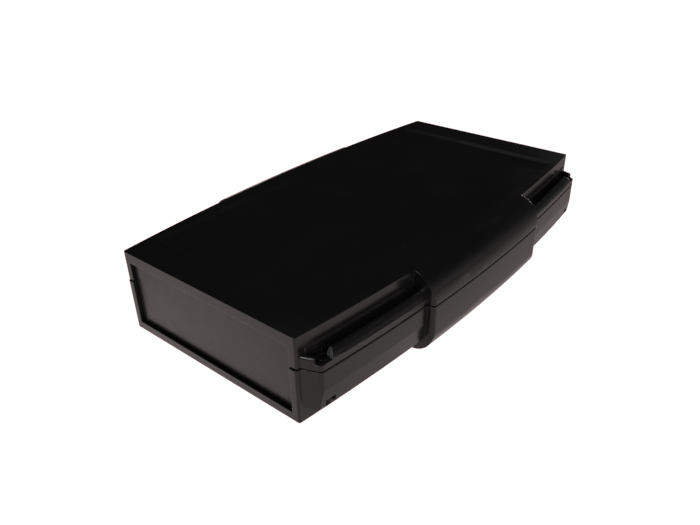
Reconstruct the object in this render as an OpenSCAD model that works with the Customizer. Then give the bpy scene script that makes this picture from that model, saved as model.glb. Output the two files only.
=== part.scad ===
// Hand-held battery box: two bowed shells with end panels in slots, holding a
// pack of six cylindrical cells, a protection board and the output fittings.
// Units are millimetres. X is the width, Y the length, Z up. The origin is the
// centre of the underside. The blank panel is at -Y, the fittings at +Y.

/* [Case] */
// Overall length, over the end frames
case_l = 240; // [236:1:250]
// Width across the ends of the deck
end_w = 110; // [108:0.5:114]
// How far each side bows out between the ends
side_bow = 7.5; // [6:0.1:9]
// Overall height
case_h = 42; // [42:0.5:46]
// Height of the joint between the two shells
part_z = 26.5; // [25:0.1:28]
// Thickness of the side walls and the floor
wall = 2.5; // [2:0.1:3]
// Thickness of the deck
deck_t = 2.7; // [2.4:0.1:3]

/* [Ends] */
// How far the lower shell's end face stands proud of the upper shell's
end_step = 0.4; // [0:0.1:0.8]
// Thickness of the end frames, in front of the panels
frame_t = 1.7; // [1.4:0.1:3]
// Thickness of an end panel
panel_t = 1.8; // [1.5:0.1:2.4]
// Width of the end frame's posts
post_w = 3.7; // [3:0.1:5]
// Height of the end frame's bottom rail
bottom_rail_h = 4; // [3:0.1:5]
// Height of the end frame's top rail
top_rail_h = 5.2; // [4:0.1:6]

/* [Grips and wings] */
// How far a grip stands out from the deck's edge
grip_o = 11.2; // [10:0.1:12]
// Front end of the grips
grip_y0 = -51; // [-54:0.5:-48]
// Rear end of the grips
grip_y1 = 48.6; // [46:0.5:54]
// Radius of the grip's shoulder
shoulder_r = 14.35; // [14:0.05:14.7]
// Radius under the grip
grip_under_r = 12; // [10:0.5:13]
// How far a wing stands out from the deck's edge
wing_o = 7.7; // [7.4:0.1:8.5]
// Height of the wing's underside
wing_z0 = 7; // [6:0.5:9]
// Height of the wing's rim beside the screw
rim_z = 30; // [29:0.1:31]
// Height of the raised rail along the wing
rail_z = 33.4; // [33:0.1:34.5]

/* [Deck] */
// Width of the recessed label field
field_w = 104; // [90:1:105]
// Length of the recessed label field
field_l = 200; // [150:1:204]
// Depth of the recessed label field
field_d = 1; // [0.4:0.1:1.2]

/* [Cells] */
// Cell diameter without its sleeve
cell_d = 32; // [31.8:0.1:32.2]
// Cell length over the positive cap
cell_len = 70.2; // [69.8:0.1:70.4]
// Distance between neighbouring cells
cell_pitch = 33.4; // [33:0.1:33.6]

/* [Hidden] */

// Facets on the long bowed arcs and on small rounds
bow_fn = 720;
round_fn = 64;

// Case: ends, bow and inner faces
lower_y = case_l / 2;
upper_y = lower_y - end_step;
mid_hw = end_w / 2 + side_bow;
bow_r = (lower_y * lower_y + side_bow * side_bow) / (2 * side_bow);
bow_cx = mid_hw - bow_r;
sweep_a = 16;
floor_z = wall;
ceiling_z = case_h - deck_t;
corner_r = 1;

// End frames: the window, the panel's place and the ribs that hold it
frame_y = lower_y - frame_t;
window_x = end_w / 2 - post_w;
window_top = case_h - top_rail_h;
panel_gap = 0.25;
panel_y1 = frame_y - panel_gap;
panel_y0 = panel_y1 - panel_t;
panel_hw = 52.6;
panel_top = ceiling_z - panel_gap;
rib_t = 1.8;
rib_y1 = panel_y0 - panel_gap;

// Joint between the shells: shadow groove and locating tongue
groove_h = 0.7;
groove_d = 0.8;
neck_z = part_z + groove_h;
tongue_t = 0.8;
tongue_h = 1.5;
tongue_gap = 0.3;
tongue_y0 = 56;
tongue_y1 = 108;

// Grips
grip_corner_r = 2.2;
shoulder_z = 28;

// Wings: slanted end wall, rim, rail and screw place
wing_slant = 21.4;
wing_p = [end_w / 2, 2.1 - lower_y];
wing_corner_r = 2.4;
rim_t = 1.6;
end_wall_t = 2.3;
end_wall_z = 32.6;
end_round_r = 1.2;
end_wall_len = 6.4;
tray_t = 1.7;
pocket_step = 0.2;
rail_in = 3.8;
rail_top_o = 4.6;
rail_lean = 36;
rail_y0 = 108.7;
wing_bend_z = 17;
wing_wall = 2;
screw_o = 3.6;
screw_y = 109.6;
screw_x = side_x(screw_y) + screw_o;
screw_hole_r = 1.5;
screw_clear_r = 1.7;
spigot_r = 2.5;
spigot_z = 20.2;
socket_r = 2.8;
lower_boss_r = 3.6;
head_bore_r = 3.1;
head_bore_z = 11.3;
notch_w = 5.3;
screw_head_h = 3.7;
field_end_slope = 3.5;
field_side_slope = 1.6;

// Battery pack: two rows of three cells, lying along Y
pack_y0 = -111.4;
strip_t = 0.4;
sheet_t = 0.5;
sleeve_t = 0.2;
sleeve_r = cell_d / 2 + sleeve_t;
foam_t = 1.5;
top_foam_t = 1;
holder_h = 34;
holder_w = 101.8;
holder_t = 7;
holder_z0 = floor_z + foam_t;
cell_z = holder_z0 + holder_h / 2;
row2_y0 = pack_y0 + cell_len + strip_t;
pack_y1 = row2_y0 + cell_len;
cap_h = 1.8;
cap_r = 7;
fold_r = 10;
fold_t = 0.4;
lead_x = cell_pitch / 2;
lead_z = 34.6;
valley_w = 5;
valley_z = 31.4;

// Protection board, on posts behind the pack
board_w = 62;
board_l = 26;
board_t = 1.6;
board_y0 = 46;
board_z = 7;
post_r = 2.6;
board_hole_r = 1.3;
post_x = board_w / 2 - 3.4;
post_y0 = board_y0 + 3.4;
post_y1 = board_y0 + board_l - 3.4;
chip_z = board_z + board_t;
pad_y = board_y0 + board_l - 5;

// Fittings on the rear panel
fit_z = 20.5;
rear_face = panel_y1;
rear_back = panel_y0;
socket_red_x = 40;
socket_black_x = 21;
socket_barrel_r = 3.9;
socket_hole_r = 4;
socket_flange_r = 5.6;
socket_flange_t = 2.6;
socket_back_y = 96;
contact_or = 2.8;
contact_ir = 2.05;
contact_y0 = 90;
contact_y1 = 118.6;
contact_lug_y = 84;
fuse_x = -6;
fuse_barrel_r = 5.9;
fuse_hole_r = 6;
fuse_flange_r = 7.2;
fuse_flange_t = 1.1;
fuse_back_y = 84;
fuse_bore_r = 3.6;
fuse_cap_r = 5.6;
fuse_cap_t = 1.9;
fuse_stem_r = 3.3;
fuse_stem_l = 9;
fuse_r = 2.6;
fuse_glass_r = 2.45;
fuse_l = 20;
fuse_y1 = 116.4;
switch_x = -36;
switch_w = 18.8;
switch_hh = 6.2;
switch_bezel_t = 1.2;
switch_back_y = 103;
rocker_hw = 7.8;
rocker_gap = 0.9;
rocker_hh = 4.6;
rocker_tilt = 7;
pivot_y = rear_face - 2.35;
pivot_r = 1;
pivot_clear = 0.05;

// Leads: radii and hand-laid routes
lead_r = 1.3;
sense_r = 0.7;
lead_fn = 8;
eps = 0.01;

// ---- plan outlines -------------------------------------------------------

// Half-width of the deck at a distance y from the middle
function side_x(y) = bow_cx + sqrt(bow_r * bow_r - y * y);

// Disc whose edge is the right side's arc, o outside the deck's edge
module arc_disc(o) translate([bow_cx, 0]) circle(r = bow_r + o, $fn = bow_fn);

// What a corner fillet of radius r, centred at c, takes away between two normals
module corner_cut(c, r, a0, a1) {
    am = (a0 + a1) / 2;
    translate(c) difference() {
        polygon([[0, 0], 3 * r * [cos(a0), sin(a0)], 5 * r * [cos(am), sin(am)], 3 * r * [cos(a1), sin(a1)]]);
        circle(r = r, $fn = round_fn);
    }
}

// Centre of a fillet between the side's arc at offset o and an end line at y
function end_fillet_c(o, y, r) =
    let (s = sign(y), yc = y - s * r)
    [bow_cx + sqrt(pow(bow_r + o - r, 2) - yc * yc), yc];

// Normal of the side's arc at a point, in degrees
function arc_normal(c) = atan2(c[1], c[0] - bow_cx);

module both_sides() {
    children();
    mirror([1, 0, 0]) children();
}

module four_corners() {
    both_sides() {
        children();
        mirror([0, 1, 0]) children();
    }
}

// Bowed outline, half_l to each end, with sharp corners
module lens(o, half_l) {
    intersection() {
        arc_disc(o);
        mirror([1, 0]) arc_disc(o);
        square([4 * end_w, 2 * half_l], center = true);
    }
}

// Bowed outline with rounded corners
module body_plan(o, half_l, r) {
    c = end_fillet_c(o, -half_l, r);
    difference() {
        lens(o, half_l);
        four_corners() corner_cut(c, r, -90, arc_normal(c));
    }
}

// Strip of the right grip between its ends, inset by d
module grip_plan(d) {
    r = grip_corner_r - d / 2;
    y0 = grip_y0 + d;
    y1 = grip_y1 - d;
    c0 = end_fillet_c(grip_o - d, y0, r);
    c1 = end_fillet_c(grip_o - d, y1, r);
    difference() {
        intersection() {
            arc_disc(grip_o - d);
            translate([end_w / 4, y0]) square([end_w, y1 - y0]);
        }
        corner_cut(c0, r, -90, arc_normal(c0));
        corner_cut(c1, r, 90, arc_normal(c1));
    }
}

// Wing at the front right: slanted end line moved in by e, side inset by d.
// It runs on into the grip, far enough for its mirror image at the rear too.
function wing_dir() = [cos(wing_slant), sin(wing_slant)];
function wing_nrm() = [sin(wing_slant), -cos(wing_slant)];
function wing_line(e, t) = wing_p - e * wing_nrm() + t * wing_dir();
function wing_fillet_c(d, e, r) =
    let (
        q = wing_line(e + r, 0) - [bow_cx, 0],
        b = q * wing_dir(),
        rho = bow_r + wing_o - d - r,
        t = sqrt(b * b - q * q + rho * rho) - b
    )
    wing_line(e + r, t);

module wing_plan(d, e, r) {
    c = wing_fillet_c(d, e, r);
    difference() {
        intersection() {
            arc_disc(wing_o - d);
            polygon([wing_line(e, -5), wing_line(e, 20), [end_w, 1 - grip_y1], [wing_p[0] - 5, 1 - grip_y1]]);
        }
        corner_cut(c, r, wing_slant - 90, arc_normal(c));
    }
}

// Everything inside the shells' outer outline, inset by d
module case_plan(d) {
    body_plan(-d, upper_y - d, corner_r);
    both_sides() {
        grip_plan(d);
        wing_plan(d, d, wing_corner_r - d);
        mirror([0, 1, 0]) wing_plan(d, d, wing_corner_r - d);
    }
}

// ---- sections swept along the right side's arc ---------------------------

// Sweeps a section drawn as (o, z) along the arc
module arc_sweep() {
    translate([bow_cx, 0, 0]) rotate([0, 0, -sweep_a / 2])
        rotate_extrude(angle = sweep_a, $fn = bow_fn)
            translate([bow_r, 0]) children();
}

module grip_section_upper(d) {
    z0 = d > 0 ? part_z - 1 : neck_z;
    intersection() {
        union() {
            translate([-10, z0]) square([10 + grip_o - d, shoulder_z - z0]);
            intersection() {
                translate([grip_o - shoulder_r, shoulder_z]) circle(r = shoulder_r - d, $fn = round_fn * 2);
                translate([-10, shoulder_z - eps]) square([40, 40]);
            }
        }
        translate([-10, z0]) square([40, (d > 0 ? ceiling_z : case_h) - z0]);
    }
}

module grip_section_lower(d) {
    c = [grip_o - grip_under_r, grip_under_r];
    z1 = part_z + 1 + d;
    translate([-10, grip_under_r]) square([10 + grip_o - d, z1 - grip_under_r]);
    translate([-10, d]) square([10 + c[0], z1 - d]);
    intersection() {
        translate(c) circle(r = grip_under_r - d, $fn = round_fn * 2);
        translate([c[0] - eps, 0]) square([20, grip_under_r + eps]);
    }
}

module grip_upper(d) {
    intersection() {
        arc_sweep() grip_section_upper(d);
        linear_extrude(case_h + 1) grip_plan(d);
    }
}

module grip_lower(d) {
    intersection() {
        arc_sweep() grip_section_lower(d);
        translate([0, 0, -1]) linear_extrude(part_z + 3 + d) grip_plan(d);
    }
}

// ---- wings ---------------------------------------------------------------

module wing_lower_solid() {
    intersection() {
        arc_sweep() polygon([
            [-1, part_z + 1], [wing_o, part_z + 1], [wing_o, wing_bend_z], [wing_o - 1.2, wing_z0 + 1],
            [wing_o - 1.7, wing_z0 + 0.25], [wing_o - 2.5, wing_z0], [-1, wing_z0]
        ]);
        linear_extrude(part_z + 2) wing_plan(0, 0, wing_corner_r);
    }
}

module wing_lower_hollow() {
    intersection() {
        arc_sweep() polygon([
            [0, part_z + 3], [wing_o - wing_wall, part_z + 3], [wing_o - wing_wall, wing_bend_z],
            [wing_o - wing_wall - 1.2, wing_z0 + wing_wall], [0, wing_z0 + wing_wall]
        ]);
        linear_extrude(part_z + 4) wing_plan(wing_wall, wing_wall, 1);
    }
}

module wing_lower() {
    difference() {
        wing_lower_solid();
        wing_lower_hollow();
    }
    intersection() {
        wing_lower_solid();
        union() {
            translate([screw_x, -screw_y, 0]) cylinder(r = lower_boss_r, h = part_z + 3, $fn = round_fn);
            for (y = [-68, -86]) translate([end_w / 2, y, 0]) cube([12, 1.2, part_z - 2]);
        }
    }
}

module wing_lower_cuts() {
    translate([screw_x, -screw_y, 0]) {
        cylinder(r = screw_clear_r, h = part_z, $fn = round_fn);
        cylinder(r = head_bore_r, h = head_bore_z, $fn = round_fn);
        translate([0, -notch_w / 2, 0]) cube([8, notch_w, head_bore_z]);
        translate([0, 0, spigot_z - 0.3]) cylinder(r = socket_r, h = part_z, $fn = round_fn);
    }
}

// Box laid along the slanted end wall: t along it, e in from it
module slant_box(t0, t1, e0, e1, z0, z1) {
    translate([wing_p[0], wing_p[1], z0]) rotate([0, 0, wing_slant])
        translate([t0, e0, 0]) cube([t1 - t0, e1 - e0, z1 - z0]);
}

// Tray, rim and rail of the front right wing, as one section
module wing_tray() {
    tray_z = part_z + tray_t;
    difference() {
        intersection() {
            arc_sweep() polygon([
                [-1, neck_z], [wing_o, neck_z], [wing_o, rim_z], [wing_o - 1, rim_z + 1.6],
                [rail_top_o + 0.7, rail_z - 0.3], [rail_top_o, rail_z], [rail_in + 0.3, rail_z],
                [rail_in, rail_z - 0.3], [rail_in, tray_z], [-1, tray_z]
            ]);
            linear_extrude(case_h) wing_plan(0, 0, wing_corner_r);
        }
        // the rail's leaning end, above the rim
        intersection() {
            translate([0, -rail_y0, rim_z]) rotate([-rail_lean, 0, 0])
                translate([0, -30, -30]) cube([2 * end_w, 30, 60]);
            translate([0, -case_l, rim_z]) cube([2 * end_w, case_l, 30]);
        }
        // the screw's pocket, a little deeper than the channel
        translate([0, 0, tray_z - pocket_step]) linear_extrude(30) intersection() {
            wing_plan(rim_t, end_wall_t, wing_corner_r - rim_t);
            translate([0, -case_l]) square([2 * end_w, case_l - rail_y0]);
        }
    }
}

module wing_upper() {
    wing_tray();
    // raised end wall with its rounded outer edge
    slant_box(-2, end_wall_len, 0, end_wall_t, neck_z, end_wall_z - end_round_r);
    slant_box(-2, end_wall_len, end_round_r, end_wall_t, neck_z, end_wall_z);
    translate([wing_p[0], wing_p[1], end_wall_z - end_round_r]) rotate([0, 0, wing_slant])
        translate([-2, end_round_r, 0]) rotate([0, 90, 0])
            cylinder(r = end_round_r, h = end_wall_len + 2, $fn = round_fn);
    // ribs across the channel behind the screw
    slant_box(-1, 6, 11.2, 12, neck_z, 32.2);
    slant_box(-1, 6.4, 8.9, 9.6, neck_z, 30.9);
    // step along the channel's inner wall
    intersection() {
        arc_sweep() polygon([[-1, neck_z], [0.5, neck_z], [0.5, 35], [0, 35.5], [-1, 35.5]]);
        linear_extrude(case_h) wing_plan(0, end_wall_t, 0.5);
    }
    // boss round the screw's end
    translate([screw_x, -screw_y, neck_z])
        cylinder(r = spigot_r + 0.4, h = rim_z + 0.4 - neck_z, $fn = round_fn);
}

module wing_spigot() {
    translate([screw_x, -screw_y, spigot_z]) cylinder(r = spigot_r, h = part_z + 1 - spigot_z, $fn = round_fn);
}

module wing_upper_cuts() {
    translate([screw_x, -screw_y, 0]) cylinder(r = screw_hole_r, h = case_h, $fn = round_fn);
}

// ---- shells --------------------------------------------------------------

// Material taken out of both shells in front of the panels
module end_window(z0, z1) {
    for (s = [-1, 1])
        translate([-window_x, s * (lower_y - 2) - 5, z0]) cube([2 * window_x, 10, z1 - z0]);
}

// Ribs that hold a panel from behind, at one end
module panel_ribs(z0, z1) {
    intersection() {
        translate([0, 0, z0]) linear_extrude(z1 - z0) lens(-wall / 2, lower_y - 1);
        both_sides() translate([50.4, -rib_y1, z0]) cube([5, rib_t, z1 - z0]);
    }
}

module lower_shell() color([0.05, 0.05, 0.055]) {
    difference() {
        union() {
            linear_extrude(part_z + 2) body_plan(0, lower_y, corner_r);
            both_sides() {
                grip_lower(0);
                wing_lower();
                mirror([0, 1, 0]) wing_lower();
            }
        }
        translate([0, 0, floor_z]) linear_extrude(part_z) lens(-wall, frame_y);
        both_sides() grip_lower(wall);
        end_window(bottom_rail_h, part_z + 1);
        four_corners() wing_lower_cuts();
        // the joint face is one clean cut
        translate([-end_w, -case_l, part_z]) cube([end_w * 2, case_l * 2, 30]);
    }
    for (m = [0, 1]) mirror([0, m, 0]) {
        panel_ribs(floor_z - 1, part_z);
        translate([-40, -rib_y1, floor_z - 1]) cube([80, rib_t, 2.8]);
    }
    // tongue on the joint face
    both_sides() for (m = [0, 1]) mirror([0, m, 0]) intersection() {
        arc_sweep() translate([-wall, part_z - 1]) square([tongue_t, tongue_h + 1]);
        translate([0, -tongue_y1, 0]) cube([end_w, tongue_y1 - tongue_y0, case_h]);
    }
    // stop ribs behind the pack and the posts for the board
    for (x = [-40, 12]) translate([x, pack_y1 + 1.6, floor_z - 1]) cube([28, 2, 9]);
    difference() {
        for (x = [-post_x, post_x], y = [post_y0, post_y1])
            translate([x, y, floor_z - 1]) cylinder(r = post_r, h = board_z - floor_z + 1, $fn = round_fn);
        for (x = [-post_x, post_x], y = [post_y0, post_y1])
            translate([x, y, floor_z]) cylinder(r = board_hole_r + 0.05, h = 10, $fn = round_fn);
    }
}

// Shallow field in the deck, with sloping edges
module label_field() {
    z0 = case_h - field_d;
    intersection() {
        rotate([90, 0, 90]) translate([0, 0, -end_w]) linear_extrude(2 * end_w) polygon([
            [-field_l / 2, z0], [field_l / 2, z0], [field_l / 2 + field_end_slope, case_h],
            [field_l / 2 + field_end_slope, case_h + 5], [-field_l / 2 - field_end_slope, case_h + 5],
            [-field_l / 2 - field_end_slope, case_h]
        ]);
        rotate([90, 0, 0]) translate([0, 0, -case_l]) linear_extrude(2 * case_l) polygon([
            [-field_w / 2, z0], [field_w / 2, z0], [field_w / 2 + field_side_slope, case_h],
            [field_w / 2 + field_side_slope, case_h + 5], [-field_w / 2 - field_side_slope, case_h + 5],
            [-field_w / 2 - field_side_slope, case_h]
        ]);
    }
}

module upper_shell() color([0.045, 0.045, 0.05]) {
    difference() {
        union() {
            // the neck behind the shadow groove
            translate([0, 0, part_z]) linear_extrude(groove_h) case_plan(groove_d);
            translate([0, 0, neck_z]) linear_extrude(case_h - neck_z) body_plan(0, upper_y, corner_r);
            both_sides() {
                grip_upper(0);
                wing_upper();
                mirror([0, 1, 0]) wing_upper();
            }
        }
        translate([0, 0, part_z - 1]) linear_extrude(ceiling_z - part_z + 1) lens(-wall, frame_y);
        both_sides() grip_upper(wall);
        end_window(part_z - 1, window_top);
        four_corners() wing_upper_cuts();
        label_field();
        // rebate for the tongue
        both_sides() for (m = [0, 1]) mirror([0, m, 0]) intersection() {
            arc_sweep() translate([-wall - 1, part_z - 1])
                square([1 + tongue_t + tongue_gap, tongue_h + tongue_gap + 1]);
            translate([0, -tongue_y1 - 0.5, 0]) cube([end_w, tongue_y1 - tongue_y0 + 1, case_h]);
        }
    }
    for (m = [0, 1]) mirror([0, m, 0]) {
        panel_ribs(part_z + tongue_h + 0.5, ceiling_z + 1);
        translate([-40, -rib_y1, ceiling_z - 1.6]) cube([80, rib_t, 2]);
    }
    four_corners() difference() {
        wing_spigot();
        wing_upper_cuts();
    }
}

// ---- panels and case screws ----------------------------------------------

// Plate standing on the floor in the slot at the end given by s
module panel_blank(s) {
    translate([-panel_hw, s > 0 ? panel_y0 : -panel_y1, floor_z])
        cube([2 * panel_hw, panel_t, panel_top - floor_z]);
}

module front_panel() color([0.09, 0.085, 0.085]) panel_blank(-1);

module rear_panel() color([0.09, 0.085, 0.085]) difference() {
    panel_blank(1);
    for (x = [socket_red_x, socket_black_x]) rear_hole(x, socket_hole_r);
    rear_hole(fuse_x, fuse_hole_r);
    translate([switch_x - switch_w / 2 - 0.1, panel_y0 - 1, fit_z - switch_hh - 0.1])
        cube([switch_w + 0.2, panel_t + 2, 2 * switch_hh + 0.2]);
}

module rear_hole(x, r) {
    translate([x, panel_y0 - 1, fit_z]) rotate([-90, 0, 0]) cylinder(r = r, h = panel_t + 2, $fn = round_fn);
}

// Cross recess for a screw head, cut down from z = 0
module cross_recess(w, t, d) {
    for (a = [0, 90]) rotate([0, 0, a]) translate([-w / 2, -t / 2, -d]) cube([w, t, d + 1]);
}

// Pan-head screw, head down, seated at z = 0
module case_screw() {
    cylinder(r = screw_hole_r - 0.05, h = 17.6, $fn = round_fn);
    difference() {
        translate([0, 0, -screw_head_h]) cylinder(r = 2.8, h = screw_head_h, $fn = round_fn);
        translate([0, 0, -screw_head_h]) rotate([180, 0, 0]) cross_recess(3.2, 0.8, 1.3);
    }
}

module case_screws() color([0.06, 0.06, 0.065])
    for (x = [-screw_x, screw_x], y = [-screw_y, screw_y])
        translate([x, y, head_bore_z]) case_screw();

// ---- battery pack --------------------------------------------------------

// Place of cell i: 1 to 3 in the front row, 4 to 6 in the rear row
function cell_x(i) = ((i - 1) % 3 - 1) * cell_pitch;
function cell_y(i) = i < 4 ? pack_y0 : row2_y0;

module along_y(i) translate([cell_x(i), cell_y(i), cell_z]) rotate([-90, 0, 0]) children();

module cell(i) color([0.7, 0.71, 0.72]) along_y(i) {
    cylinder(r = cell_d / 2, h = cell_len - cap_h, $fn = round_fn);
    cylinder(r = cap_r, h = cell_len, $fn = round_fn);
}

module cell_sleeve(i) color([0.1, 0.3, 0.62]) along_y(i) difference() {
    translate([0, 0, 0.4]) cylinder(r = sleeve_r, h = cell_len - cap_h - 0.4 + fold_t, $fn = round_fn);
    cylinder(r = cell_d / 2, h = cell_len - cap_h, $fn = round_fn);
    cylinder(r = fold_r, h = cell_len + 1, $fn = round_fn);
}

module cell_holder(y) color([0.12, 0.12, 0.13]) difference() {
    translate([-holder_w / 2, y, holder_z0]) cube([holder_w, holder_t, holder_h]);
    for (i = [1 : 3]) translate([cell_x(i), y - 1, cell_z]) rotate([-90, 0, 0])
        cylinder(r = sleeve_r + 0.05, h = holder_t + 2, $fn = round_fn);
    for (x = [-lead_x, lead_x])
        translate([x - valley_w / 2, y - 1, valley_z]) cube([valley_w, holder_t + 2, holder_h]);
    for (x = [-lead_x, lead_x])
        translate([x - valley_w / 2, y - 1, 0]) cube([valley_w, holder_t + 2, holder_z0 + 5]);
}

// Nickel strip across three cell ends with a tab that rises into a valley
module strip(y, tab_x) color([0.75, 0.74, 0.7]) {
    translate([-cell_pitch - 8, y, cell_z - 5]) cube([2 * cell_pitch + 16, strip_t, 10]);
    if (tab_x != 0) translate([tab_x - 2.2, y, cell_z]) cube([4.4, strip_t, lead_z + 1.6 - cell_z]);
}

module negative_strip() strip(pack_y0 - strip_t, lead_x);
module series_strip() strip(row2_y0 - strip_t, -lead_x);
module positive_strip() strip(pack_y1, -lead_x);

module insulator(y) color([0.75, 0.68, 0.45])
    translate([-holder_w / 2 + 1, y, holder_z0]) cube([holder_w - 2, sheet_t, 24]);
module front_insulator() insulator(pack_y0 - strip_t - sheet_t);
module rear_insulator() insulator(pack_y1 + strip_t);

module foam(z, t) color([0.16, 0.16, 0.17])
    translate([-holder_w / 2 + 1, pack_y0 + 0.5, z]) cube([holder_w - 2, pack_y1 - pack_y0 - 1, t]);
module bottom_foam() foam(floor_z, foam_t);
module top_foam() foam(holder_z0 + holder_h, top_foam_t);

// ---- protection board ----------------------------------------------------

module board() color([0.05, 0.3, 0.16]) difference() {
    translate([-board_w / 2, board_y0, board_z]) cube([board_w, board_l, board_t]);
    for (x = [-post_x, post_x], y = [post_y0, post_y1])
        translate([x, y, 0]) cylinder(r = board_hole_r + 0.2, h = 20, $fn = round_fn);
}

module board_screws() color([0.6, 0.6, 0.6])
    for (x = [-post_x, post_x], y = [post_y0, post_y1]) translate([x, y, chip_z]) {
        translate([0, 0, -5]) cylinder(r = board_hole_r, h = 5, $fn = round_fn);
        difference() {
            cylinder(r = 2.2, h = 1.4, $fn = round_fn);
            translate([0, 0, 1.4]) cross_recess(2.6, 0.6, 0.8);
        }
    }

// Chips in a row: body with a metal tab's step
module chip_row(n, x0, pitch, y, w, l, h) {
    for (i = [0 : n - 1]) translate([x0 + i * pitch, y, chip_z]) {
        cube([w, l, h]);
        translate([0.6, -1.1, 0]) cube([w - 1.2, 1.1, 0.5]);
    }
}

module mosfets() color([0.08, 0.08, 0.08]) chip_row(6, -22.5, 7.6, board_y0 + 7.2, 6, 5.2, 1.6);
module board_chips() color([0.1, 0.1, 0.11]) {
    chip_row(1, -12, 1, board_y0 + 14.6, 5, 4.4, 1.5);
    chip_row(3, -4, 5, board_y0 + 15, 2.4, 2, 1);
}
module shunt_resistors() color([0.2, 0.2, 0.22])
    for (x = [-26, -19.6]) translate([x + 1, board_y0 + 17.6, chip_z]) cube([4.6, 2.6, 0.9]);

module sense_header() color([0.9, 0.88, 0.8]) difference() {
    translate([14, board_y0 + 1, chip_z]) cube([10, 4.6, 5]);
    translate([15, board_y0 + 1.8, chip_z + 1]) cube([8, 3, 5]);
}
module sense_plug() color([0.85, 0.83, 0.76])
    translate([15.1, board_y0 + 1.9, chip_z + 1]) cube([7.8, 2.8, 6.4]);

// ---- output sockets ------------------------------------------------------

// Lays a round piece along +Y from y0, on the fitting's axis
module on_axis(x, y0) translate([x, y0, fit_z]) rotate([-90, 0, 0]) children();

module socket_body(x) {
    difference() {
        union() {
            on_axis(x, socket_back_y)
                cylinder(r = socket_barrel_r, h = rear_face - socket_back_y + 1, $fn = round_fn);
            on_axis(x, rear_face) cylinder(r = socket_flange_r, h = socket_flange_t, $fn = round_fn);
        }
        on_axis(x, socket_back_y - 1) cylinder(r = contact_or + 0.05, h = 40, $fn = round_fn);
    }
}
module socket_red() color([0.7, 0.05, 0.05]) socket_body(socket_red_x);
module socket_black() color([0.03, 0.03, 0.03]) socket_body(socket_black_x);

module contact(x) color([0.8, 0.68, 0.35]) {
    difference() {
        on_axis(x, contact_y0) cylinder(r = contact_or, h = contact_y1 - contact_y0, $fn = round_fn);
        on_axis(x, contact_y0 + 4) cylinder(r = contact_ir, h = 40, $fn = round_fn);
    }
    on_axis(x, contact_lug_y) cylinder(r = 1.1, h = contact_y0 - contact_lug_y + 1, $fn = round_fn);
}
module contact_red() contact(socket_red_x);
module contact_black() contact(socket_black_x);

module hex_nut(x, across, bore_r, t, y1) {
    difference() {
        on_axis(x, y1 - t) cylinder(r = across / 2 / cos(30), h = t, $fn = 6);
        on_axis(x, y1 - t - 1) cylinder(r = bore_r, h = t + 2, $fn = round_fn);
    }
}
module socket_nuts() color([0.75, 0.75, 0.74])
    for (x = [socket_red_x, socket_black_x]) hex_nut(x, 11, socket_barrel_r + 0.05, 2.6, rear_back);

// ---- rocker switch -------------------------------------------------------

module switch_housing() color([0.04, 0.04, 0.04]) difference() {
    union() {
        translate([switch_x - switch_w / 2, switch_back_y, fit_z - switch_hh])
            cube([switch_w, rear_face - switch_back_y + 0.5, 2 * switch_hh]);
        translate([switch_x - switch_w / 2 - 1.2, rear_face, fit_z - switch_hh - 1.2])
            cube([switch_w + 2.4, switch_bezel_t, 2 * switch_hh + 2.4]);
    }
    translate([switch_x - rocker_hw - rocker_gap, pivot_y - 5.4, fit_z - rocker_hh - 0.3])
        cube([2 * (rocker_hw + rocker_gap), 20, 2 * rocker_hh + 0.6]);
    translate([switch_x, pivot_y, fit_z - rocker_hh - 1.1])
        cylinder(r = pivot_r + pivot_clear, h = 2 * rocker_hh + 2.2, $fn = round_fn);
}

// Rocker on its pivot, tipped to its rest position
module switch_rocker() color([0.06, 0.06, 0.06])
    translate([switch_x, pivot_y, fit_z]) rotate([0, 0, rocker_tilt]) {
        translate([0, 0, -rocker_hh]) linear_extrude(2 * rocker_hh) difference() {
            polygon([
                [-rocker_hw, 4.5], [-rocker_hw + 1.5, -2.6], [-2, -4], [2, -4],
                [rocker_hw - 1.5, -2.6], [rocker_hw, 4.5]
            ]);
            // shallow valley in the pressing face
            translate([0, 4.5 + 28.2]) circle(r = 29.2, $fn = 180);
        }
        translate([0, 0, -rocker_hh - 0.9]) cylinder(r = pivot_r, h = 2 * rocker_hh + 1.8, $fn = round_fn);
    }

module switch_terminals() color([0.8, 0.7, 0.4])
    for (x = [-5, 5]) translate([switch_x + x - 0.4, switch_back_y - 8, fit_z - 2.4]) cube([0.8, 8, 4.8]);

// ---- fuse holder ---------------------------------------------------------

module fuse_holder() color([0.04, 0.04, 0.04]) difference() {
    union() {
        on_axis(fuse_x, fuse_back_y)
            cylinder(r = fuse_barrel_r, h = rear_face - fuse_back_y + 0.5, $fn = round_fn);
        on_axis(fuse_x, rear_face) cylinder(r = fuse_flange_r, h = fuse_flange_t, $fn = round_fn);
    }
    on_axis(fuse_x, fuse_back_y + 3) cylinder(r = fuse_bore_r, h = 50, $fn = round_fn);
    on_axis(fuse_x, fuse_back_y - 1) cylinder(r = 1.5, h = 50, $fn = round_fn);
    translate([fuse_x - 1, 103, fit_z + 2]) cube([2, 4, 8]);
}

module fuse_holder_nut() color([0.05, 0.05, 0.05]) hex_nut(fuse_x, 15, fuse_barrel_r + 0.05, 2.6, rear_back);

// Rear contact button with its tag, and the side tag
module fuse_contacts() color([0.8, 0.7, 0.4]) {
    on_axis(fuse_x, fuse_back_y - 6) cylinder(r = 1.4, h = 9, $fn = round_fn);
    on_axis(fuse_x, fuse_back_y + 3) cylinder(r = 2.8, h = fuse_y1 - fuse_l - fuse_back_y - 3.4, $fn = round_fn);
    translate([fuse_x - 0.9, 103.1, fit_z + 4]) cube([1.8, 0.8, 7]);
}

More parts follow.
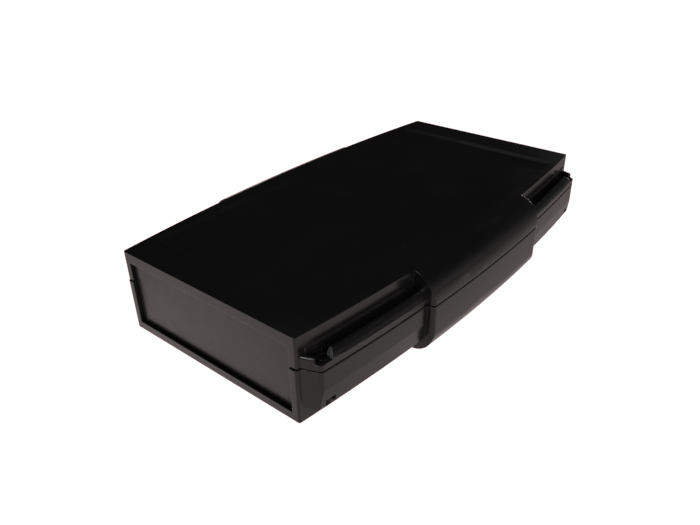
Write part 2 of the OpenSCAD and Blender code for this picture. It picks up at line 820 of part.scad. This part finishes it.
module fuse_cap() color([0.03, 0.03, 0.03]) difference() {
    union() {
        on_axis(fuse_x, rear_face + fuse_flange_t + 0.1)
            cylinder(r = fuse_cap_r, h = fuse_cap_t - 0.1, $fn = round_fn);
        on_axis(fuse_x, rear_face + fuse_flange_t - fuse_stem_l)
            cylinder(r = fuse_stem_r, h = fuse_stem_l + 0.5, $fn = round_fn);
    }
    on_axis(fuse_x, 100) cylinder(r = fuse_r + 0.05, h = fuse_y1 - 100, $fn = round_fn);
    translate([fuse_x - 4, rear_face + fuse_flange_t + fuse_cap_t - 0.9, fit_z - 0.6]) cube([8, 2, 1.2]);
}

module fuse_glass() color([0.85, 0.9, 0.92]) difference() {
    on_axis(fuse_x, fuse_y1 - fuse_l + 0.4) cylinder(r = fuse_glass_r, h = fuse_l - 0.8, $fn = round_fn);
    on_axis(fuse_x, fuse_y1 - fuse_l) cylinder(r = fuse_glass_r - 0.5, h = fuse_l, $fn = round_fn);
}

// End caps of the fuse, joined by its wire
module fuse_ends() color([0.75, 0.75, 0.74]) {
    difference() {
        for (y = [fuse_y1 - fuse_l, fuse_y1 - 5])
            on_axis(fuse_x, y) cylinder(r = fuse_r, h = 5, $fn = round_fn);
        on_axis(fuse_x, fuse_y1 - fuse_l + 0.4) cylinder(r = fuse_glass_r, h = fuse_l - 0.8, $fn = round_fn);
    }
    on_axis(fuse_x, fuse_y1 - fuse_l + 0.2) cylinder(r = 0.25, h = fuse_l - 0.4, $fn = 16);
}

// ---- leads ---------------------------------------------------------------

function unit(v) = v / norm(v);

// Points of a smooth curve through the route's points
function smooth(p, n) = [
    for (i = [0 : len(p) - 2], k = [0 : n - 1])
        let (
            t = k / n,
            a = p[max(i - 1, 0)], b = p[i], c = p[i + 1], d = p[min(i + 2, len(p) - 1)]
        )
        0.5 * (2 * b + t * (c - a) + t * t * (2 * a - 5 * b + 4 * c - d) + t * t * t * (3 * b - a - 3 * c + d)),
    p[len(p) - 1]
];

// Directions along the smoothed points, square to the route's first and last leg
function tangents(q, p) = [
    for (i = [0 : len(q) - 1])
        i == 0 ? unit(p[1] - p[0]) :
        i == len(q) - 1 ? unit(p[len(p) - 1] - p[len(p) - 2]) :
        unit(q[i + 1] - q[i - 1])
];

// Side vectors carried along the route without twist
function carried(t, u, i) =
    i >= len(t) ? [] :
    let (v = unit(u - (u * t[i]) * t[i]))
    concat([v], carried(t, v, i + 1));

module lead(route, r, n) {
    q = smooth(route, n);
    t = tangents(q, route);
    start = abs(t[0][2]) > 0.9 ? [1, 0, 0] : [0, 0, 1];
    u = carried(t, start, 0);
    rings = [
        for (i = [0 : len(q) - 1], k = [0 : lead_fn - 1])
            let (a = 360 * k / lead_fn, v = cross(t[i], u[i]))
            q[i] + r * (cos(a) * u[i] + sin(a) * v)
    ];
    last = len(q) - 1;
    faces = concat(
        [[for (k = [0 : lead_fn - 1]) k]],
        [[for (k = [lead_fn - 1 : -1 : 0]) last * lead_fn + k]],
        [
            for (i = [0 : last - 1], k = [0 : lead_fn - 1])
                let (a = i * lead_fn + k, b = i * lead_fn + (k + 1) % lead_fn)
                [b, a, a + lead_fn, b + lead_fn]
        ]
    );
    polyhedron(points = rings, faces = faces, convexity = 8);
}

// From the negative strip's tab, along a valley, down to the board
module lead_battery_negative() color([0.05, 0.05, 0.05]) lead([
    [lead_x, pack_y0 + 0.05, lead_z], [lead_x, -60, lead_z], [lead_x, 20, lead_z],
    [lead_x, 34, 33], [10, 44, 24], [2, 54, 15], [0, 60, 12.2], [0, 64.5, 10.4], [0, 68, chip_z + lead_r + 0.05]
], lead_r, 5);

// From the positive strip's tab to the fuse holder's end contact
module lead_battery_positive() color([0.75, 0.05, 0.05]) lead([
    [-lead_x, pack_y1 + strip_t + 0.05, lead_z - 0.6], [-lead_x, 36, lead_z - 0.6], [-14, 48, 30], [-8, 60, 24],
    [fuse_x, 70, fit_z + 0.6], [fuse_x, 74, fit_z], [fuse_x, fuse_back_y - 6.05, fit_z]
], lead_r, 5);

// From the fuse holder's side tag to the switch
module lead_fuse_to_switch() color([0.75, 0.05, 0.05]) lead([
    [fuse_x, 103.05, fit_z + 9.4], [fuse_x, 98, fit_z + 9.4], [-10, 93, 30.5], [-18, 89, 29.5], [-27, 86, 25],
    [switch_x + 5, 87.5, 21.2], [switch_x + 5, 91, fit_z], [switch_x + 5, switch_back_y - 8.05, fit_z]
], lead_r, 5);

// From the switch to the red socket, under the fuse holder
module lead_switch_to_socket() color([0.75, 0.05, 0.05]) lead([
    [switch_x - 5, switch_back_y - 8.05, fit_z], [switch_x - 5, 91, fit_z], [switch_x - 4, 86, 15], [-32, 83, 9.5],
    [-16, 82, 7.6], [4, 81, 7.4], [22, 79, 8.6], [35, 77, 13], [socket_red_x, 77, 18],
    [socket_red_x, 80, fit_z], [socket_red_x, contact_lug_y - 0.05, fit_z]
], lead_r, 5);

// From the board's output pad to the black socket
module lead_board_to_socket() color([0.05, 0.05, 0.05]) lead([
    [12, pad_y - 2, chip_z + lead_r + 0.2], [12, pad_y + 1, chip_z + lead_r + 0.3], [15, 73, 13.4],
    [socket_black_x, 77, 18.6], [socket_black_x, 80, fit_z], [socket_black_x, contact_lug_y - 0.05, fit_z]
], lead_r, 5);

// Thin leads from the strips to the sense plug
module lead_sense_mid() color([0.85, 0.8, 0.2]) lead([
    [-lead_x, row2_y0 + 0.05, lead_z + 0.4], [-lead_x, -38, lead_z + 0.4], [-lead_x, -30, 36.9],
    [-lead_x, 24, 36.95], [-14, 34, 36.6], [0, 42, 35], [11, 47.4, 30], [16.8, board_y0 + 3.3, 23.5],
    [16.8, board_y0 + 3.3, 19], [16.8, board_y0 + 3.3, chip_z + 7.45]
], sense_r, 5);

module lead_sense_top() color([0.9, 0.9, 0.9]) lead([
    [-lead_x + 1.2, pack_y1 + strip_t + 0.05, lead_z - 4.4], [-lead_x + 1.2, 32, lead_z - 4.4], [-10, 36, 31.4],
    [2, 40.5, 31], [13, 44.6, 27], [21.2, 48, 21.5], [21.2, board_y0 + 3.3, 18.6],
    [21.2, board_y0 + 3.3, chip_z + 7.45]
], sense_r, 5);

// ---- the nodes -----------------------------------------------------------

lower_shell();
upper_shell();
front_panel();
rear_panel();
case_screws();
for (i = [1 : 6]) {
    cell(i);
    cell_sleeve(i);
}
cell_holder(pack_y0);  // cell_holder_1
cell_holder(pack_y0 + cell_len - holder_t);  // cell_holder_2
cell_holder(row2_y0);  // cell_holder_3
cell_holder(pack_y1 - holder_t);  // cell_holder_4
negative_strip();
series_strip();
positive_strip();
front_insulator();
rear_insulator();
bottom_foam();
top_foam();
board();
board_screws();
mosfets();
board_chips();
shunt_resistors();
sense_header();
sense_plug();
socket_red();
socket_black();
contact_red();
contact_black();
socket_nuts();
switch_housing();
switch_rocker();
switch_terminals();
fuse_holder();
fuse_holder_nut();
fuse_contacts();
fuse_cap();
fuse_glass();
fuse_ends();
lead_battery_negative();
lead_battery_positive();
lead_fuse_to_switch();
lead_switch_to_socket();
lead_board_to_socket();
lead_sense_mid();
lead_sense_top();
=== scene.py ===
"""Looks of the battery box: camera, materials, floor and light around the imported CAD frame."""

import math

import bpy
from mathutils import Matrix, Vector

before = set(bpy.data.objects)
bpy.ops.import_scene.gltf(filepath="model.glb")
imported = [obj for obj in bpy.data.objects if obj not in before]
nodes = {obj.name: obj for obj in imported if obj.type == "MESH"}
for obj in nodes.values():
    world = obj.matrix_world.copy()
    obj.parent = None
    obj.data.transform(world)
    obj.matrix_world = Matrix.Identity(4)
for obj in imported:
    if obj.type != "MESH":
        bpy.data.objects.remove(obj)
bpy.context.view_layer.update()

MM = 0.001


# ---- camera ----------------------------------------------------------------

CAMERA_AT = Vector((199.9, -256.9, 188.4)) * MM
LOOKS_AT = Vector((-13.4, -6.1, -1.15)) * MM
CAMERA_ROLL = -0.0224  # radians
LENS = 33.97  # focal length in millimetres, as is the sensor's width
SENSOR_WIDTH = 36
NEAREST_SEEN = 10 * MM


def place_camera():
    """The scene's camera at CAMERA_AT, turned to LOOKS_AT and rolled about its line of sight."""
    look = (LOOKS_AT - CAMERA_AT).normalized()
    level = look.cross(Vector((0, 0, 1))).normalized()
    rise = level.cross(look)
    across = math.cos(CAMERA_ROLL) * level + math.sin(CAMERA_ROLL) * rise
    upward = math.cos(CAMERA_ROLL) * rise - math.sin(CAMERA_ROLL) * level
    turned = Matrix((across, upward, -look)).transposed().to_4x4()

    camera = bpy.data.objects.new("camera", bpy.data.cameras.new("camera"))
    camera.data.lens = LENS
    camera.data.sensor_width = SENSOR_WIDTH
    camera.data.clip_start = NEAREST_SEEN
    camera.matrix_world = Matrix.Translation(CAMERA_AT) @ turned
    bpy.context.scene.collection.objects.link(camera)
    bpy.context.scene.camera = camera


place_camera()


# ---- building materials from nodes -----------------------------------------

NOISE_LOW, NOISE_HIGH = 0.3, 0.7  # noise seldom goes past these
EDGE_SAMPLES = 6


class Nodes:
    """Adds shader nodes to an emptied tree; their inputs take plain values or other nodes' outputs."""

    def __init__(self, tree):
        self.tree = tree
        tree.nodes.clear()

    def new(self, kind):
        return self.tree.nodes.new("ShaderNode" + kind)

    def feed(self, socket, value):
        """Links value to socket if it is a node's output, else sets it there."""
        if isinstance(value, bpy.types.NodeSocket):
            self.tree.links.new(value, socket)
        else:
            socket.default_value = value

    def feed_named(self, node, inputs):
        """Feeds a node's inputs by name, written with _ for a space."""
        for name, value in inputs.items():
            self.feed(node.inputs[name.replace("_", " ")], value)

    def node(self, kind, **inputs):
        n = self.new(kind)
        self.feed_named(n, inputs)
        return n

    def math(self, operation, *values):
        n = self.new("Math")
        n.operation = operation
        for socket, value in zip(n.inputs, values):
            self.feed(socket, value)
        return n.outputs[0]

    def times(self, *factors):
        """The product of any number of factors."""
        product = factors[0]
        for factor in factors[1:]:
            product = self.math("MULTIPLY", product, factor)
        return product

    def within(self, value, low, high):
        """1 where value lies between low and high, else 0."""
        return self.times(self.math("GREATER_THAN", value, low), self.math("LESS_THAN", value, high))

    def rise(self, value, start, full):
        """0 where value hasn't reached start, 1 from full on, smooth between; start may be the larger."""
        n = self.node("MapRange", Value=value, From_Min=start, From_Max=full)
        n.interpolation_type = "SMOOTHSTEP"
        return n.outputs["Result"]


class Shader(Nodes):
    """A material under construction: one Principled shader and the patterns that feed it."""

    def __init__(self, name):
        self.material = bpy.data.materials.new(name)
        self.material.use_nodes = True
        super().__init__(self.material.node_tree)
        self.surface = self.new("BsdfPrincipled")
        self.feed(self.new("OutputMaterial").inputs["Surface"], self.surface.outputs["BSDF"])
        self.place = self.new("TexCoord").outputs["Object"]
        self.edge = None

    def set(self, **inputs):
        self.feed_named(self.surface, inputs)

    def at(self, size, stretch=(1, 1, 1), place=None):
        """Texture coordinates that count in steps of size, drawn out by stretch."""
        scale = [1 / (size * s) for s in stretch]
        return self.node("Mapping", Vector=place or self.place, Scale=scale).outputs[0]

    def noise(self, size, detail=3.0, rough=0.5, stretch=(1, 1, 1), place=None):
        """Noise whose features are about size across."""
        at = self.at(size, stretch, place)
        return self.node("TexNoise", Vector=at, Scale=1.0, Detail=detail, Roughness=rough).outputs["Fac"]

    def cells(self, size):
        """Distance to the nearest of points about size apart, as a share of size."""
        return self.node("TexVoronoi", Vector=self.at(size), Scale=1.0).outputs["Distance"]

    def ramp(self, factor, *stops):
        """A colour ramp over factor; a stop is (place, colour or grey value)."""
        n = self.node("ValToRGB", Fac=factor)
        while len(n.color_ramp.elements) < len(stops):
            n.color_ramp.elements.new(0.5)
        for element, (where, colour) in zip(n.color_ramp.elements, stops):
            rgb = colour if isinstance(colour, tuple) else (colour, colour, colour)
            element.position = where
            element.color = (*rgb, 1)
        return n.outputs["Color"]

    def drift(self, low, high, size, **noise):
        """Wanders between two colours or grey values in patches about size across."""
        return self.ramp(self.noise(size, **noise), (NOISE_LOW, low), (NOISE_HIGH, high))

    def mix(self, factor, a, b):
        """Colour a where factor is 0, b where it is 1."""
        n = self.new("Mix")
        n.data_type = "RGBA"
        for name, value in (("Factor", factor), ("A", a), ("B", b)):
            self.feed(n.inputs[name], (*value, 1) if isinstance(value, tuple) else value)
        return n.outputs["Result"]

    def soft_edges(self, radius):
        """Shades sharp edges as if rounded to radius."""
        n = self.node("Bevel", Radius=radius)
        n.samples = EDGE_SAMPLES
        self.edge = n.outputs["Normal"]

    def bump(self, *layers):
        """Bump from (height, distance, strength) layers, coarse first, over the soft edges."""
        normal = self.edge
        for height, distance, strength in layers:
            n = self.node("Bump", Height=height, Distance=distance, Strength=strength)
            if normal is not None:
                self.feed(n.inputs["Normal"], normal)
            normal = n.outputs["Normal"]
        self.set(Normal=normal)


def dress(material, *names):
    """Gives CAD nodes their material."""
    for name in names:
        slots = nodes[name].data.materials
        slots.clear()
        slots.append(material)


# ---- the case --------------------------------------------------------------

CASE_SPECULAR = 0.3

# The long sides' bow, as the shells have it
HALF_LENGTH = 120 * MM
HALF_WIDTH = 62.5 * MM
SIDE_BOW = 7.5 * MM
BOW_RADIUS = (HALF_LENGTH**2 + SIDE_BOW**2) / (2 * SIDE_BOW)
BOW_CENTRE = BOW_RADIUS - HALF_WIDTH  # how far beyond the middle plane the arc's centre lies

# Edge roundings: the shells' own, and that of the lip below the joint and of the wings' end walls
SHELL_EDGE = 0.45 * MM
WIDE_EDGE = 1.25 * MM

# Heights above the ground
JOINT_TOP = 26.52 * MM  # just over the face where the shells meet
LIP_FOOT = 25.22 * MM
RAIL_FOOT = 28 * MM
RAIL_TOP = 34 * MM

# Distances from the middle, along the box, and across it for the rails' inner side
GRIP_END = 51.2 * MM
END_WALL = 112 * MM
WING_END = 114 * MM
RAIL_BACK = 58 * MM


def shell_black():
    """The shells' satin black: drawn streaks along the rails, hairlines, fine grain and a little dust."""
    s = Shader("shell_black")
    x, y, z = s.node("SeparateXYZ", Vector=s.place).outputs
    outward = s.math("ABSOLUTE", x)
    along = s.math("ABSOLUTE", y)

    end_wall_limits = ((along, END_WALL), (outward, RAIL_BACK), (z, RAIL_FOOT))
    end_wall = s.times(*(s.math("GREATER_THAN", *limit) for limit in end_wall_limits))
    lip = s.times(s.within(z, LIP_FOOT, JOINT_TOP), s.math("LESS_THAN", along, WING_END))
    wide = s.times(s.math("MAXIMUM", end_wall, lip), WIDE_EDGE - SHELL_EDGE)
    s.soft_edges(s.math("ADD", wide, SHELL_EDGE))

    gloss = s.drift(0.17, 0.24, 12 * MM, detail=5, rough=0.6)
    dust = s.ramp(s.cells(11 * MM), (0.022, 1.0), (0.03, 0.0))
    s.set(
        Base_Color=s.drift((0.0085, 0.0083, 0.0083), (0.0115, 0.0112, 0.0112), 30 * MM, detail=4),
        Roughness=s.mix(dust, gloss, (0.5, 0.5, 0.5)),
        Specular_IOR_Level=CASE_SPECULAR,
    )

    # Distance from the bow's centre takes the place of x, so that the streaks follow the bowed sides
    side = s.math("ADD", outward, BOW_CENTRE)
    radius = s.math("SQRT", s.math("ADD", s.math("POWER", side, 2.0), s.math("POWER", y, 2.0)))
    curved = s.node("CombineXYZ", X=radius, Y=y, Z=z).outputs[0]
    on_rail = s.times(s.within(z, RAIL_FOOT, RAIL_TOP), s.within(along, GRIP_END, END_WALL))
    lines = s.noise(0.5 * MM, detail=4, rough=0.7, stretch=(1, 70, 1), place=curved)
    hairlines = s.ramp(s.noise(0.6 * MM, detail=1, stretch=(60, 1, 1)), (0.27, 0.0), (0.33, 1.0))
    s.bump(
        (s.noise(25 * MM, detail=1), 0.3 * MM, 0.03),
        (s.times(lines, on_rail), 0.3 * MM, 0.7),
        (s.noise(0.4 * MM, detail=2), 0.01 * MM, 0.06),
        (hairlines, 0.003 * MM, 0.12),
    )
    return s.material


def panel_black():
    """The end panels: the shells' black with a finer, duller grain."""
    s = Shader("panel_black")
    s.soft_edges(0.2 * MM)
    s.set(
        Base_Color=s.drift((0.009, 0.0087, 0.0087), (0.013, 0.0125, 0.0125), 20 * MM, detail=4),
        Roughness=s.drift(0.24, 0.34, 6 * MM, detail=6, rough=0.65),
        Specular_IOR_Level=CASE_SPECULAR,
    )
    s.bump(
        (s.noise(12 * MM), 0.4 * MM, 0.06),
        (s.noise(0.5 * MM), 0.02 * MM, 0.2),
    )
    return s.material


dress(shell_black(), "lower_shell", "upper_shell")
dress(panel_black(), "front_panel", "rear_panel")


# ---- metal -----------------------------------------------------------------

METAL_EDGE = 0.12 * MM
TARNISH = 0.75  # how bright the dull patches are beside the clean metal


def metal(name, colour, rough, stretch=(1, 1, 1)):
    """Plated or drawn metal: fine lines along stretch, and darker, rougher patches."""
    s = Shader(name)
    s.soft_edges(METAL_EDGE)
    patches = s.noise(6 * MM, detail=5, rough=0.65)
    lines = s.noise(0.25 * MM, detail=2, stretch=stretch)
    both = s.math("ADD", s.times(patches, 0.5), s.times(lines, 0.5))
    dull = tuple(c * TARNISH for c in colour)
    s.set(
        Metallic=1.0,
        Base_Color=s.ramp(patches, (0.35, dull), (0.6, colour)),
        Roughness=s.ramp(both, (0.35, rough[0]), (0.65, rough[1])),
    )
    s.bump((lines, 0.015 * MM, 0.25))
    return s.material


CELLS = range(1, 7)

dress(metal("screw_black", (0.018, 0.018, 0.019), (0.35, 0.5)), "case_screws")
dress(metal("screw_steel", (0.6, 0.61, 0.64), (0.25, 0.4)), "board_screws")
dress(metal("nut_plated", (0.68, 0.68, 0.66), (0.18, 0.32)), "socket_nuts")
dress(metal("nickel", (0.66, 0.64, 0.58), (0.22, 0.4), stretch=(1, 20, 1)),
      "negative_strip", "series_strip", "positive_strip")
dress(metal("contact_brass", (0.8, 0.58, 0.24), (0.2, 0.36), stretch=(1, 12, 1)),
      "contact_red", "contact_black", "switch_terminals", "fuse_contacts")
dress(metal("fuse_metal", (0.72, 0.72, 0.7), (0.15, 0.28)), "fuse_ends")
dress(metal("cell_can", (0.7, 0.7, 0.7), (0.2, 0.34)), *(f"cell_{i}" for i in CELLS))


# ---- moulded plastic -------------------------------------------------------


def moulded(name, dark, light, rough, grain=0.4 * MM, bump=0.08, edge=0.25 * MM):
    """Moulded plastic: faint colour drift, patchy gloss and a fine grain."""
    s = Shader(name)
    s.soft_edges(edge)
    s.set(
        Base_Color=s.drift(dark, light, 20 * MM, detail=4),
        Roughness=s.drift(*rough, 8 * MM, detail=5, rough=0.6),
    )
    s.bump(
        (s.noise(15 * MM, detail=2), 0.3 * MM, 0.04),
        (s.noise(grain, detail=2), 0.02 * MM, bump),
    )
    return s.material


def small_part(name, dark, light, rough):
    """A board component's plastic: moulded, with a finer grain and crisper edges."""
    return moulded(name, dark, light, rough, grain=0.2 * MM, bump=0.4, edge=0.08 * MM)


HOLDERS = range(1, 5)

dress(moulded("holder_black", (0.014, 0.014, 0.015), (0.022, 0.022, 0.023), (0.42, 0.58), bump=0.3),
      *(f"cell_holder_{i}" for i in HOLDERS))
dress(small_part("chip_black", 0.01, 0.018, (0.45, 0.6)), "mosfets", "board_chips")
dress(small_part("resistor_grey", (0.07, 0.07, 0.075), (0.13, 0.13, 0.135), (0.4, 0.55)),
      "shunt_resistors")
dress(moulded("connector_white", (0.62, 0.58, 0.47), (0.72, 0.69, 0.58), (0.32, 0.45), bump=0.2),
      "sense_header", "sense_plug")
dress(moulded("socket_red", (0.42, 0.008, 0.006), (0.52, 0.014, 0.01), (0.2, 0.3)), "socket_red")
dress(moulded("socket_black", 0.009, 0.014, (0.2, 0.3)), "socket_black")
dress(moulded("fitting_black", 0.01, 0.017, (0.3, 0.44), bump=0.25),
      "switch_housing", "fuse_holder", "fuse_holder_nut")
dress(moulded("fitting_gloss", 0.008, 0.012, (0.14, 0.22)), "switch_rocker", "fuse_cap")


# ---- the other materials ---------------------------------------------------


def shrink_sleeve():
    """Heat-shrunk film: glossy blue with fine shrink wrinkles round the cell."""
    s = Shader("sleeve_blue")
    s.set(
        Base_Color=s.drift((0.012, 0.075, 0.27), (0.02, 0.11, 0.36), 15 * MM),
        Roughness=s.drift(0.22, 0.36, 4 * MM, detail=4),
        Coat_Weight=0.3,
        Coat_Roughness=0.08,
    )
    wrinkles = s.noise(1.2 * MM, stretch=(3, 0.8, 3))
    s.bump((wrinkles, 0.08 * MM, 0.35), (s.noise(10 * MM, detail=2), 0.3 * MM, 0.1))
    return s.material


def fish_paper():
    """Tan insulating board: long pressed fibres, matt."""
    s = Shader("insulator_tan")
    fibre = s.noise(1.2 * MM, detail=6, rough=0.7, stretch=(4, 1, 0.7))
    tans = (0.3, (0.36, 0.25, 0.1)), (0.5, (0.5, 0.38, 0.18)), (0.75, (0.6, 0.48, 0.27))
    s.set(
        Base_Color=s.ramp(fibre, *tans),
        Roughness=s.ramp(fibre, (0.3, 0.6), (0.7, 0.8)),
    )
    s.bump((fibre, 0.12 * MM, 0.5))
    return s.material


def foam():
    """Open grey foam: round pores of two sizes."""
    s = Shader("foam_grey")
    large = s.ramp(s.cells(1.4 * MM), (0.1, 0.25), (0.6, 1.0))
    small = s.ramp(s.cells(0.6 * MM), (0.1, 0.5), (0.7, 1.0))
    pores = s.times(large, small)
    s.set(
        # Darker in the pores: painted shade inside the holes; the lighter grey is the foam's own colour
        Base_Color=s.ramp(pores, (0.1, (0.012, 0.012, 0.013)), (0.9, (0.075, 0.075, 0.08))),
        Roughness=0.9,
        Sheen_Weight=0.2,
        Sheen_Roughness=0.5,
    )
    s.bump((pores, 0.5 * MM, 0.8))
    return s.material


def solder_mask():
    """Green board: lighter copper runs under the mask, in a grid, over a woven base."""
    s = Shader("board_green")
    runs = s.node("TexBrick", Vector=s.at(4.2 * MM, (2.4, 1, 1)), Scale=1.0, Bias=-0.2,
                  Mortar_Size=0.085, Mortar_Smooth=0.25)
    runs.offset = 0.37
    weave = s.noise(0.5 * MM, detail=1, stretch=(3, 1, 1))
    base = s.ramp(weave, (0.3, (0.005, 0.055, 0.022)), (0.7, (0.007, 0.07, 0.028)))
    s.set(
        Base_Color=s.mix(runs.outputs["Fac"], base, (0.014, 0.14, 0.055)),
        Roughness=s.drift(0.2, 0.32, 3 * MM, detail=4),
    )
    s.bump((runs.outputs["Fac"], 0.06 * MM, 0.6), (weave, 0.01 * MM, 0.3))
    return s.material


def glass():
    """The fuse's tube: clear, with faint smears."""
    s = Shader("fuse_glass")
    smears = s.ramp(s.noise(3 * MM, detail=4), (0.45, 0.02), (0.75, 0.14))
    s.set(Base_Color=(0.95, 0.98, 0.97, 1), Roughness=smears, Transmission_Weight=1.0, IOR=1.47)
    return s.material


def insulation(name, dark, light):
    """A lead's soft insulation: satin, with fine draw lines and a slow drift of colour."""
    s = Shader(name)
    s.set(
        Base_Color=s.drift(dark, light, 10 * MM),
        Roughness=s.drift(0.3, 0.45, 2 * MM, detail=4),
    )
    s.bump((s.noise(0.6 * MM), 0.04 * MM, 0.35), (s.noise(5 * MM, detail=2), 0.2 * MM, 0.12))
    return s.material


dress(shrink_sleeve(), *(f"cell_sleeve_{i}" for i in CELLS))
dress(fish_paper(), "front_insulator", "rear_insulator")
dress(foam(), "bottom_foam", "top_foam")
dress(solder_mask(), "board")
dress(glass(), "fuse_glass")
dress(insulation("lead_black", 0.01, 0.018), "lead_battery_negative", "lead_board_to_socket")
dress(insulation("lead_red", (0.33, 0.008, 0.006), (0.46, 0.014, 0.01)),
      "lead_battery_positive", "lead_fuse_to_switch", "lead_switch_to_socket")
dress(insulation("lead_yellow", (0.55, 0.36, 0.02), (0.7, 0.48, 0.03)), "lead_sense_mid")
dress(insulation("lead_white", (0.6, 0.6, 0.58), (0.74, 0.74, 0.71)), "lead_sense_top")


# ---- floor -----------------------------------------------------------------

FLOOR_RADIUS = 4.0
FLOOR_SIDES = 64
FLOOR_GAP = 0.05 * MM  # keeps the floor just clear of the box's underside
FLOOR_WHITE = 1.03  # how brightly the camera sees the floor
WARM_WHITE = (1.17, 1.0, 0.995)

# How brightly the floor shows in the box's gloss: POOL in front of the line y = POOL_FROM, fading behind it
POOL = 0.93
POOL_FROM = -100 * MM
POOL_FADE = 155 * MM  # how far behind that line half of the fading is done
POOL_FAR = 0.22  # the share of POOL that is left far behind
POOL_LEFT = 0.6  # the least share of POOL on the box's left

# By how much the pool is dimmer on the right, on the left and beside the near wing, where the dimming is a
# painted contact shadow, and where along x or y each change comes in, from its start to where it is full
RIGHT_DIM, RIGHT_X = 0.2, (30 * MM, 60 * MM)
LEFT_DIM, LEFT_X = 0.3, (-30 * MM, -150 * MM)
WING_SHADOW, WING_X = 0.15, (82 * MM, 70 * MM)
WING_Y = ((-113 * MM, -106 * MM), (-55 * MM, -70 * MM))
POOL_LEFT_X = (60 * MM, -30 * MM)


def light_table():
    """White table: even to the camera; in the box's gloss a pool of light in front that fades behind, with
    a painted contact shadow beside the near wing.
    """
    s = Shader("floor_white")
    x, y, _ = s.node("SeparateXYZ", Vector=s.place).outputs
    away = s.math("MAXIMUM", s.math("DIVIDE", s.math("SUBTRACT", y, POOL_FROM), POOL_FADE), 0.0)
    fade = s.math("DIVIDE", 1.0 - POOL_FAR, s.math("ADD", s.times(away, away), 1.0))

    # Painted contact shadow: the table's glow is dimmer beside the near wing's foot
    wing_shadow = s.times(s.rise(x, *WING_X), *(s.rise(y, *end) for end in WING_Y))
    right_dim = s.math("ADD", s.times(wing_shadow, WING_SHADOW), RIGHT_DIM)
    dim = s.math("ADD", s.times(s.rise(x, *RIGHT_X), right_dim), s.times(s.rise(x, *LEFT_X), LEFT_DIM))
    lit = s.times(s.math("ADD", fade, POOL_FAR), s.math("SUBTRACT", 1.0, dim))
    left = s.times(s.rise(x, *POOL_LEFT_X), POOL_LEFT)
    glow = s.times(s.math("MAXIMUM", lit, left), POOL)

    seen = s.new("LightPath").outputs["Is Camera Ray"]
    plain = s.times(s.math("SUBTRACT", FLOOR_WHITE, glow), seen)
    s.set(
        Base_Color=(0.02, 0.02, 0.02, 1),
        Roughness=0.8,
        Specular_IOR_Level=0.0,
        Emission_Color=(*WARM_WHITE, 1),
        Emission_Strength=s.math("ADD", glow, plain),
    )
    return s.material


def lay_floor():
    """A round floor just under the box."""
    turns = (math.tau * i / FLOOR_SIDES for i in range(FLOOR_SIDES))
    rim = [(FLOOR_RADIUS * math.cos(a), FLOOR_RADIUS * math.sin(a), -FLOOR_GAP) for a in turns]
    mesh = bpy.data.meshes.new("floor")
    mesh.from_pydata(rim, [], [list(range(FLOOR_SIDES))])
    mesh.materials.append(light_table())
    floor = bpy.data.objects.new("floor", mesh)
    bpy.context.scene.collection.objects.link(floor)


lay_floor()


# ---- light -----------------------------------------------------------------


def softbox(name, azimuth, elevation, distance, size, power, gloss=True, diffuse=True):
    """A soft area light that faces the box from azimuth and elevation, in degrees.

    gloss says whether it shows in reflections, diffuse whether it lights matt colour.
    """
    a, e = math.radians(azimuth), math.radians(elevation)
    at = Vector((math.cos(a) * math.cos(e), math.sin(a) * math.cos(e), math.sin(e))) * distance
    lamp = bpy.data.lights.new(name, "AREA")
    lamp.shape = "RECTANGLE"
    lamp.size, lamp.size_y = size
    lamp.energy = power
    obj = bpy.data.objects.new(name, lamp)
    obj.location = at
    obj.rotation_mode = "QUATERNION"
    obj.rotation_quaternion = (-at).to_track_quat("-Z", "Y")
    obj.visible_glossy = gloss
    obj.visible_diffuse = diffuse
    bpy.context.scene.collection.objects.link(obj)


softbox("key_light", -93, 43, 2.5, (1.3, 0.7), 45, diffuse=False)
softbox("front_light", -50, 16, 2.5, (2.0, 0.9), 6)
softbox("side_light", 0, 50, 2.5, (1.5, 1.5), 15, gloss=False)
softbox("fill_light", 115, 50, 2.5, (1.5, 1.5), 13, gloss=False)
softbox("back_light", 98, 4, 2.2, (0.9, 0.2), 4)
softbox("top_light", 131, 50, 2.5, (1.0, 0.5), 0.32)

GLOW_AZIMUTH = 35  # degrees
GLOW_FOCUS = 12.0  # a higher power keeps the glow closer to its azimuth
GLOW_TOP = 0.8  # the sine of the elevation where it ends
GLOW = 0.5
DIM = 0.008
ROOM_TINT = (1.0, 0.95, 0.94, 1)


def studio_world():
    """A dark room that glows softly low down on one side; the camera itself sees plain white."""
    world = bpy.data.worlds.new("studio")
    world.use_nodes = True
    w = Nodes(world.node_tree)
    direction = w.new("TexCoord").outputs["Generated"]
    azimuth = math.radians(GLOW_AZIMUTH)
    aside = w.new("VectorMath")
    aside.operation = "DOT_PRODUCT"
    for socket, value in zip(aside.inputs, (direction, (math.cos(azimuth), math.sin(azimuth), 0))):
        w.feed(socket, value)
    focus = w.math("POWER", w.math("MAXIMUM", aside.outputs["Value"], 0.0), GLOW_FOCUS)
    height = w.node("SeparateXYZ", Vector=direction).outputs["Z"]
    glow = w.times(w.rise(height, GLOW_TOP, 0.0), focus, GLOW)

    room = w.node("Background", Color=ROOM_TINT, Strength=w.math("ADD", glow, DIM))
    white = w.node("Background", Color=(1, 1, 1, 1))
    both = w.new("MixShader")
    seen = w.new("LightPath").outputs["Is Camera Ray"]
    for socket, value in zip(both.inputs, (seen, room.outputs[0], white.outputs[0])):
        w.feed(socket, value)
    w.node("OutputWorld", Surface=both.outputs[0])
    bpy.context.scene.world = world


studio_world()
bpy.context.scene.view_settings.view_transform = "Standard"
